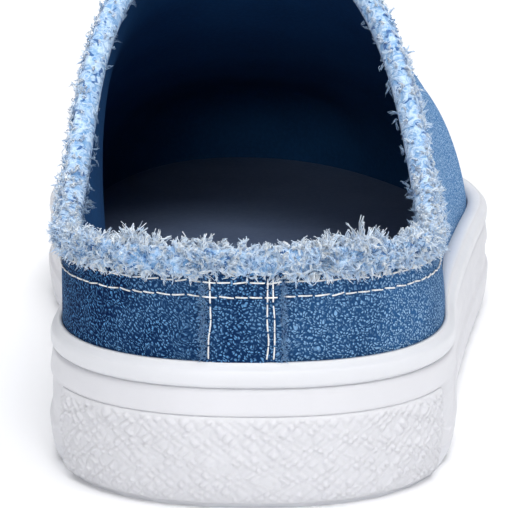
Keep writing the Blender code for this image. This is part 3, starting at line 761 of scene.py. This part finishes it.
def make_heel_patch():
    """Rubber plate round the back of the sole, with a woven relief of small raised pads."""
    reach = PATCH_REACH - 0.0002
    arc = np.linspace(0, 1, 201)
    table = reach * (1 - np.cos(np.linspace(0, math.pi / 2, 2000)))
    length = {}
    for side in (1, -1):
        line = edge_frame(table, side)[0]
        length[side] = np.concatenate([[0], np.cumsum(np.hypot(*np.diff(line, axis=0).T))])
    half = length[1][-1]
    outer = np.interp(arc * length[1][-1], length[1], table)
    inner = np.interp(arc * length[-1][-1], length[-1], table)
    low, high = PATCH_FOOT - 0.0008, CHANNEL_TOP + 0.0001
    levels = np.linspace(low, high, 62)
    along = np.concatenate([-arc[::-1], arc[1:]]) * half
    plans, ways = [], []
    for y, side, order in ((inner, -1, slice(None, None, -1)), (outer, 1, slice(1, None))):
        point, way = edge_frame(y, side)
        plans.append(point[order])
        ways.append(way[order])
    plan, way = np.concatenate(plans), np.concatenate(ways)
    s, h = np.meshgrid(along, levels, indexing="ij")
    pitch = 0.00165
    slant_a = (s * 0.80 + h) / pitch + 0.5 * wobble(s + h * 3, 5, 0.004)
    slant_b = (s * 0.80 - h) / pitch + 0.5 * wobble(s - h * 3, 6, 0.004)
    cell = np.floor(slant_a) * 57 + np.floor(slant_b) * 131
    fade = np.random.default_rng(4).uniform(0.25, 1.0, 977)[cell.astype(int) % 977]
    pad = np.abs(np.sin(math.pi * slant_a) * np.sin(math.pi * slant_b)) ** 0.55 * fade
    margin = np.minimum(np.minimum(h - low, high - h), half - np.abs(s))
    edge = np.clip(margin / 0.0004, 0, 1)
    relief = 0.00062 * pad * smoothstep((margin - 0.0002) / 0.0006)
    body = (PATCH_THICKNESS - 0.0001) * np.sqrt(1 - (1 - edge) ** 2)
    offset = body + relief - PATCH_RECESS - taper(h)
    spot = plan[:, None] + way[:, None] * offset[..., None]
    points = np.concatenate([spot, h[..., None]], -1).reshape(-1, 3)
    faces = grid_faces(len(along), len(levels))
    return piece("heel_patch_rubber", points, faces, RUBBER_PATCH, ["heel_patch"])


def make_insole():
    """Cloth-covered footbed, cupped at the heel and lightly dented where the foot stands."""
    y = stations(120)
    inset = feather_inset(y) + WALL + 0.0002
    plan = ring(y, -inset)
    count = len(plan)
    shares = np.sin(np.linspace(-math.pi / 2, math.pi / 2, 41))[::-1]
    outer = plan[: len(y)]
    inner = plan[(count - np.arange(len(y))) % count]
    level = INSOLE_HEEL + (INSOLE_FORE - INSOLE_HEEL) * smoothstep((y - 0.06) / 0.09)
    z = sole_level(y, level)
    cup = INSOLE_CUP * (1 - smoothstep((y - 0.05) / 0.1))
    end = (1 - smoothstep(y / 0.03)) * cup
    middle, half = (outer + inner) / 2, (outer - inner) / 2
    spot = middle[:, None] + half[:, None] * shares[None, :, None]
    side_lift = cup[:, None] * np.abs(shares[None]) ** 3
    height = z[:, None] + np.maximum(side_lift, end[:, None])
    heel = np.exp(-(((spot[..., 0]) / 0.022) ** 2 + ((spot[..., 1] - 0.045) / 0.03) ** 2))
    height = height - 0.0006 * heel
    points = np.concatenate([spot, height[..., None]], -1).reshape(-1, 3)
    obj = piece("insole_cover", points, grid_faces(len(y), len(shares)), INSOLE, ["insole"])
    weld(obj)
    return obj


def collar_frames(count):
    """Evenly spaced places round the collar with their frames, inner side to outer side over the back.

    The path starts and ends at the throat. Returns distances, angles, points, normals, outs and runs.
    """
    distances, angles = [], []
    for side in (-1, 1):
        y = np.concatenate([stations(500, 0.0, THROAT_AT - 0.006), THROAT_AT - 0.006 * np.linspace(1, 0, 120)[1:] ** 2])
        distance = np.interp(y, *feather_arc(side)) * side
        angle = collar_angle(y)
        distances.append(distance[::-1] if side < 0 else distance[1:])
        angles.append(angle[::-1] if side < 0 else angle[1:])
    distance, angle = np.concatenate(distances), np.concatenate(angles)
    line = wall_point(distance, angle)
    length = np.concatenate([[0], np.cumsum(np.linalg.norm(np.diff(line, axis=0), axis=1))])
    even = np.linspace(0, length[-1], count)
    distance, angle = np.interp(even, length, distance), np.interp(even, length, angle)
    point, normal, _, _ = wall_frame(distance, angle)
    run = unit(np.gradient(point, axis=0))
    out = unit(np.cross(normal, run))
    out[out[:, 2] < -0.2] *= -1
    return even - length[-1] / 2, distance, angle, point, normal, out, run


EVEN, DISTANCE, ANGLE, POINT, NORMAL, OUT, RUN = collar_frames(1600)


def collar_at(places, values):
    """Values of a collar array at places given as lengths round the collar from the back."""
    return np.stack([np.interp(places, EVEN, values[:, k]) for k in range(3)], -1)


def collar_spot(places, depth, rise):
    """Points near the collar: depth out from the upper's face and rise past its edge (below it when negative)."""
    places, depth, rise = np.broadcast_arrays(places, depth, rise)
    normal, out = unit(collar_at(places, NORMAL)), unit(collar_at(places, OUT))
    distance, angle = np.interp(places, EVEN, DISTANCE), np.interp(places, EVEN, ANGLE)
    distance, angle = wall_walk(distance, angle, out * np.minimum(rise, 0)[..., None])
    point, face, _, _ = wall_frame(distance, angle)
    return point + face * depth[..., None] + out * np.maximum(rise, 0)[..., None]


def tubes(name, lines, radius, material, sides=3, replaces=(), taper_end=0.35):
    """Thin tubes along many lines of the same number of points, as one mesh."""
    lines = np.asarray(lines, float)
    count, steps = lines.shape[:2]
    run = unit(np.gradient(lines, axis=1))
    guide = unit(rng.normal(size=(count, 1, 3)))
    across = unit(np.cross(run, guide))
    other = np.cross(run, across)
    shape = np.interp(np.linspace(0, 1, steps), (0, 0.15, 0.6, 1), (0.8, 1, 0.9, taper_end))
    thick = np.broadcast_to(radius, count)[:, None] * shape
    turn = np.arange(sides) / sides * 2 * math.pi
    points = (
        lines[:, :, None]
        + (across[:, :, None] * np.cos(turn)[:, None] + other[:, :, None] * np.sin(turn)[:, None]) * thick[..., None, None]
    )
    faces = grid_faces(steps, sides, close=True)
    stride = steps * sides
    all_faces = (faces[None] + (np.arange(count) * stride)[:, None, None]).reshape(-1, 4)
    return piece(name, points.reshape(-1, 3), all_faces, material, replaces)


def bunches(roots, ways, lengths, count, spread, curl, steps=5):
    """Bunches of fibres: each starts apart, bends one way, draws together and curls at its tip."""
    total = len(roots)
    share = np.linspace(0, 1, steps)[None, None, :, None]
    way = unit(ways)[:, None, None]
    bend = 1.5 * unit(np.cross(way, rng.normal(size=(total, 1, 1, 3))))
    size = lengths[:, None, None, None] * rng.uniform(0.55, 1.15, (total, count, 1, 1))
    start = rng.normal(size=(total, count, 1, 3)) * spread
    own = unit(np.cross(way, rng.normal(size=(total, count, 1, 3))))
    other = np.cross(way, own)
    phase = rng.uniform(0, 2 * math.pi, (total, count, 1, 1))
    turns = rng.uniform(0.6, 1.5, (total, count, 1, 1)) * 2 * math.pi
    swing = rng.uniform(0.3, 1.0, (total, count, 1, 1)) * curl * share**0.7
    lines = roots[:, None, None] + start * (1 - 0.7 * share) + (way * share + bend * 0.42 * share**2) * size
    lines = lines + (own * np.cos(phase + turns * share) + other * np.sin(phase + turns * share)) * swing
    return lines.reshape(-1, steps, 3)


# Tufts that stand up from the fringe: length round the collar from the back, reach, height
TUFTS = (
    (0.0186, 0.0014, 0.0042), (0.0165, 0.0009, 0.0022), (0.0130, 0.0012, 0.0024), (0.0112, 0.0010, 0.0020),
    (0.0225, 0.0013, 0.0026), (-0.0228, 0.0008, 0.0030), (-0.0212, 0.0008, 0.0034), (-0.0182, 0.0006, 0.0026),
    (-0.0166, 0.0009, 0.0028), (-0.0116, 0.0008, 0.0018), (-0.0082, 0.0007, 0.0022), (-0.0052, 0.0006, 0.0014),
    (-0.0020, 0.0006, 0.0010), (0.0022, 0.0006, 0.0008), (0.0052, 0.0006, 0.0009), (0.0084, 0.0008, 0.0014),
    (-0.0300, 0.0014, 0.0016), (0.0320, 0.0014, 0.0012), (-0.0380, 0.0012, 0.0012), (0.0400, 0.0012, 0.0012),
)


def tuft_height(places):
    """Extra height of the fringe's crest at places round the collar."""
    extra = 0.00035 * (wobble(places, 31, 0.0014) + wobble(places, 32, 0.0040)) + 0.0001
    for at, reach, height in TUFTS:
        extra = np.maximum(extra, height * np.exp(-(((places - at) / reach) ** 2)))
    return extra


def make_fringe():
    """Frayed collar: a lumpy band of matted yarn under bunches of loose fibres."""
    half = EVEN[-1]
    places = np.linspace(-half, half, 1300)
    profile = (
        (0.0001, -0.70), (0.0005, -0.72), (0.0008, -0.62), (0.0010, -0.44), (0.0011, -0.24), (0.0010, 0.00),
        (0.0008, 0.22), (0.0004, 0.42), (-0.0002, 0.52), (-0.0012, 0.48), (-0.0023, 0.28), (-0.0031, 0.00),
        (-0.0034, -0.24), (-0.0033, -0.42), (-0.0027, -0.52), (-0.0024, -0.50),
    )
    rows = []
    for i, (depth, rise) in enumerate(profile):
        lump = wobble(places + i * 0.0007, 40 + i, 0.0009) * 0.00030 + wobble(places, 60 + i // 2, 0.0024) * 0.00034
        drop = FRAY_DROP * (1 + 0.12 * wobble(places, 80, 0.0040) + 0.12 * wobble(places, 81, 0.0016))
        reach = rise * (drop if rise < 0 else FRAY_RISE)
        grow = 1 + 0.22 * wobble(places, 90 + i // 3, 0.0050)
        rows.append(collar_spot(places, depth * (grow if depth > 0 else 1) + lump * (depth > 0.0004), reach))
    points = np.stack(rows, 1)
    faces = grid_faces(len(places), len(profile), close=True)
    band = piece("fringe_band", points.reshape(-1, 3), faces, YARN, ["collar_fray"])

    def crowd(total):
        """Places round the collar, closer together over the back of the heel."""
        return np.where(rng.uniform(size=total) < 0.45, rng.uniform(-0.075, 0.075, total), rng.uniform(-half, half, total))

    def scatter(name, total, count, depth, rise, way, length, spread, curl, radius, material, loose=0.6):
        """Bunches over a part of the fringe; way holds weights along the normal, the edge's out and the run."""
        at = crowd(total)
        deep = rng.uniform(*depth, total)
        high = rng.uniform(*rise, total)
        roots = collar_spot(at, deep, high)
        normal, out, run = (unit(collar_at(at, values)) for values in (NORMAL, OUT, RUN))
        weights = np.array(way)[None] + rng.normal(scale=loose, size=(total, 3)) * (0.35, 1, 1)
        heading = normal * weights[:, :1] + out * weights[:, 1:2] + run * weights[:, 2:]
        lines = bunches(roots, heading, rng.uniform(*length, total), count, spread, curl)
        return tubes(name, lines, rng.uniform(*radius, len(lines)), material)

    scatter("fringe_matted", 1250, 6, (0.0006, 0.0013), (-0.0028, 0.0008), (0.08, 0.0, 0.0), (0.0010, 0.0020),
            0.00022, 0.00030, (0.00006, 0.00012), YARN_SOFT)
    scatter("fringe_pale", 1100, 6, (0.0008, 0.0014), (-0.0029, 0.0012), (0.12, 0.1, 0.0), (0.0008, 0.0016),
            0.00016, 0.00026, (0.00006, 0.00011), YARN_PALE)
    scatter("fringe_loops", 900, 1, (0.0009, 0.0014), (-0.0022, 0.0008), (0.05, 0.0, 0.0), (0.0006, 0.0014),
            0.0001, 0.00045, (0.00008, 0.00014), YARN_BLUE)
    scatter("fringe_hem", 560, 5, (0.0004, 0.0011), (-0.0031, -0.0026), (0.10, -0.7, 0.0), (0.0008, 0.0016),
            0.00018, 0.00024, (0.00005, 0.00010), YARN_PALE)
    scatter("fringe_inner", 300, 6, (-0.0039, -0.0028), (-0.0024, 0.0008), (-0.2, -0.2, 0.0), (0.0008, 0.0018),
            0.0002, 0.00026, (0.00006, 0.00011), YARN_INNER)

    total = 700
    at = crowd(total)
    favour = rng.integers(0, len(TUFTS), total)
    picked = np.array([TUFTS[k][0] for k in favour]) + rng.normal(size=total) * np.array([TUFTS[k][1] for k in favour]) * 0.4
    at = np.where(rng.uniform(size=total) < 0.30, picked, at)
    roots = collar_spot(at, rng.uniform(-0.0026, 0.0012, total), rng.uniform(0.0004, FRAY_RISE * 0.5, total))
    normal, out, run = (unit(collar_at(at, values)) for values in (NORMAL, OUT, RUN))
    heading = out + normal * rng.normal(scale=0.30, size=(total, 1)) + run * rng.normal(scale=0.30, size=(total, 1))
    height = 0.0008 + 0.8 * tuft_height(at) * rng.uniform(0.5, 1.1, total)
    lines = bunches(roots, heading, height, 7, 0.00020, 0.00048, 6)
    tubes("fringe_crest", lines, rng.uniform(0.00006, 0.00012, len(lines)), YARN_PALE, taper_end=0.9)
    return band


def stitch_row(reach, rise, length, gap):
    """Starts and spans of a row of stitches along the collar."""
    starts, spans = [], []
    at = -reach
    while at < reach - length:
        span = length * rng.uniform(0.85, 1.12)
        starts.append(at)
        spans.append(span)
        at += span + gap * rng.uniform(0.7, 1.5)
    return np.array(starts), np.array(spans)


def strip_lift(distance):
    """How far a place lies over the heel strip, from 0 beside it to 1 on it."""
    return smoothstep((STRIP_WIDTH / 2 - np.abs(distance - STRIP_SHIFT)) / 0.0008 + 0.5)


def make_stitches():
    """Two rows of pale stitches below the collar, and three down the heel strip."""
    radius = 0.00015
    share = np.linspace(0, 1, 6)
    arch = np.sin(math.pi * share) ** 0.5
    lines = []
    for rise, reach in ((-0.0040, 0.060), (-0.0064, 0.062)):
        starts, spans = stitch_row(reach, rise, 0.0022, 0.00036)
        places = starts[:, None] + spans[:, None] * share
        tilt = rng.normal(scale=0.00011, size=(len(starts), 1)) * (share - 0.5) * 2
        spot = collar_spot(places, radius * (arch + 0.35) + 0 * places, rise + tilt)
        lines.append(spot - np.array([0, 1, 0]) * strip_lift(spot[:, 2:3, 0:1]) * 0.0009)
    for column, seed in ((-0.0068, 1), (0.0026, 2), (0.0035, 3)):
        low, high = SOLE_HEIGHT + 0.0006, HEEL_COLLAR_HEIGHT - 0.0036
        starts = np.cumsum(np.concatenate([[low], rng.uniform(0.0021, 0.0027, 5)]))
        starts = starts[starts < high - 0.0012]
        height = np.minimum(starts[:, None] + 0.0020 * share, high)
        drift = column + 0.00022 * wobble(height, seed, 0.0035)
        y = np.interp(np.abs(drift), feather_arc(1)[1], feather_arc(1)[0])
        point, normal, _, _ = wall_frame(drift, wall_angle(y, height))
        lines.append(point + normal * (0.00105 + radius * (arch - 0.4))[None, :, None])
    lines = np.concatenate(lines)
    return tubes("stitches", lines, radius, THREAD, sides=6, taper_end=0.8)


def make_strip():
    """Denim strip down the back, with raw edges that shed short fibres."""
    columns = np.linspace(-STRIP_WIDTH / 2, STRIP_WIDTH / 2, 61) + STRIP_SHIFT
    heights = np.linspace(SOLE_HEIGHT - 0.0004, HEEL_COLLAR_HEIGHT - 0.0015, 60)
    d, h = np.meshgrid(columns, heights, indexing="ij")
    d = d + 0.00022 * wobble(h, 21, 0.0016) * np.sign(d - STRIP_SHIFT) * (np.abs(d - STRIP_SHIFT) > STRIP_WIDTH * 0.48)
    y = np.interp(np.abs(d), feather_arc(1)[1], feather_arc(1)[0])
    point, normal, _, _ = wall_frame(d, wall_angle(y, h))
    inside = STRIP_WIDTH / 2 - np.abs(d - STRIP_SHIFT)
    lift = 0.00005 + 0.0008 * np.sqrt(np.clip(inside / 0.0006, 0, 1))
    for column in (-0.0068, 0.0026, 0.0035):
        lift = lift - 0.00022 * np.exp(-(((d - column) / 0.0006) ** 2))
    spot = point + normal * lift[..., None]
    uv = np.stack([d * 10 + 7.3, h * 10], -1).reshape(-1, 2)
    strip = piece("heel_strip_denim", spot.reshape(-1, 3), grid_faces(*d.shape), DENIM_STRIP,
                  ["heel_strip"], uv, uv)
    count = 520
    edge = rng.choice((-1, 1), count)
    inset = rng.uniform(0, 0.0011, count) * np.where(edge < 0, 1.0, 0.7)
    d = STRIP_SHIFT + edge * (STRIP_WIDTH / 2 - inset)
    h = rng.uniform(SOLE_HEIGHT + 0.0004, HEEL_COLLAR_HEIGHT - 0.0040, count)
    y = np.interp(np.abs(d), feather_arc(1)[1], feather_arc(1)[0])
    point, normal, along, _ = wall_frame(d, wall_angle(y, h))
    way = normal * 0.35 + unit(along) * edge[:, None] * 0.25 + rng.normal(scale=0.6, size=(count, 3)) * (1, 0.2, 1)
    lines = bunches(point + normal * 0.00085, way, rng.uniform(0.0005, 0.0011, count), 1, 0.00005, 0.00015)
    tubes("heel_strip_fibres", lines, rng.uniform(0.00004, 0.00007, count), YARN_BLUE)
    return strip


make_upper()
make_rand()
make_midsole()
make_heel_patch()
make_insole()
make_fringe()
make_stitches()
make_strip()
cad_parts["outsole"].material_slots[0].material = RUBBER_TREAD

# Floor
floor_mesh = bpy.data.meshes.new("floor")
floor_mesh.from_pydata([(-6, -6, 0), (6, -6, 0), (6, 6, 0), (-6, 6, 0)], [], [(0, 1, 2, 3)])
floor = bpy.data.objects.new("floor", floor_mesh)
bpy.context.scene.collection.objects.link(floor)
floor_nodes = Nodes("floor")
floor_nodes.put(floor_nodes.shader.inputs["Base Color"], (0.93, 0.93, 0.94))
floor_nodes.put(floor_nodes.shader.inputs["Roughness"], 0.7)
floor_nodes.put(floor_nodes.shader.inputs["Emission Color"], (1.0, 1.0, 1.0))
far_off = floor_nodes.node("ShaderNodeVectorMath", output=1, settings={"operation": "LENGTH"}, in0=floor_nodes.position())
floor_nodes.put(floor_nodes.shader.inputs["Emission Strength"], floor_nodes.ramp(far_off, 0.15, 1.3, 0.02, 0.70))
floor_mesh.materials.append(floor_nodes.material)

# Light
world = bpy.data.worlds.new("studio")
bpy.context.scene.world = world
world.use_nodes = True
world.node_tree.nodes["Background"].inputs[0].default_value = (0.93, 0.95, 1.0, 1)
world.node_tree.nodes["Background"].inputs[1].default_value = 0.33


def area_light(name, place, target, width, power, colour=(1, 1, 1)):
    """Soft square light at a place, aimed at a target."""
    data = bpy.data.lights.new(name, "AREA")
    data.size = width
    data.energy = power
    data.color = colour
    light = bpy.data.objects.new(name, data)
    light.location = place
    light.rotation_euler = (Vector(target) - Vector(place)).to_track_quat("-Z", "Y").to_euler()
    bpy.context.scene.collection.objects.link(light)
    return light


area_light("key", (0.9, -0.55, 0.85), (0, -0.05, 0.03), 0.8, 3.5)
area_light("top", (0.0, 0.05, 1.3), (0, 0.05, 0), 1.3, 13.0)
area_light("back", (0.10, -0.78, 0.98), (0, 0.0, 0.02), 0.40, 4.7)
area_light("fill", (-0.15, -1.2, 0.42), (0, 0.05, 0.02), 0.4, 2.6)

# Camera, placed in the last frame: behind the heel, looking slightly down
CAMERA_TURN = math.radians(0.6)
CAMERA_PITCH = math.radians(11.4)
PIVOT = np.array([0.0, 0.039, 0.0])
ahead = np.array([-math.sin(CAMERA_TURN), math.cos(CAMERA_TURN), 0.0])
eye = PIVOT - ahead * (0.3349 + 0.039) + np.array([0, 0, 0.1106])
look = ahead * math.cos(CAMERA_PITCH) - np.array([0, 0, math.sin(CAMERA_PITCH)])
camera = bpy.data.objects.new("camera", bpy.data.cameras.new("camera"))
camera.data.sensor_width = 36
camera.data.lens = 151.5
camera.data.clip_start = 0.01
camera.data.clip_end = 50
camera.location = to_row(eye).tolist()
camera.rotation_euler = Vector(look).to_track_quat("-Z", "Y").to_euler()
bpy.context.scene.collection.objects.link(camera)
bpy.context.scene.camera = camera
bpy.context.scene.view_settings.view_transform = "Standard"

bpy.context.view_layer.update()
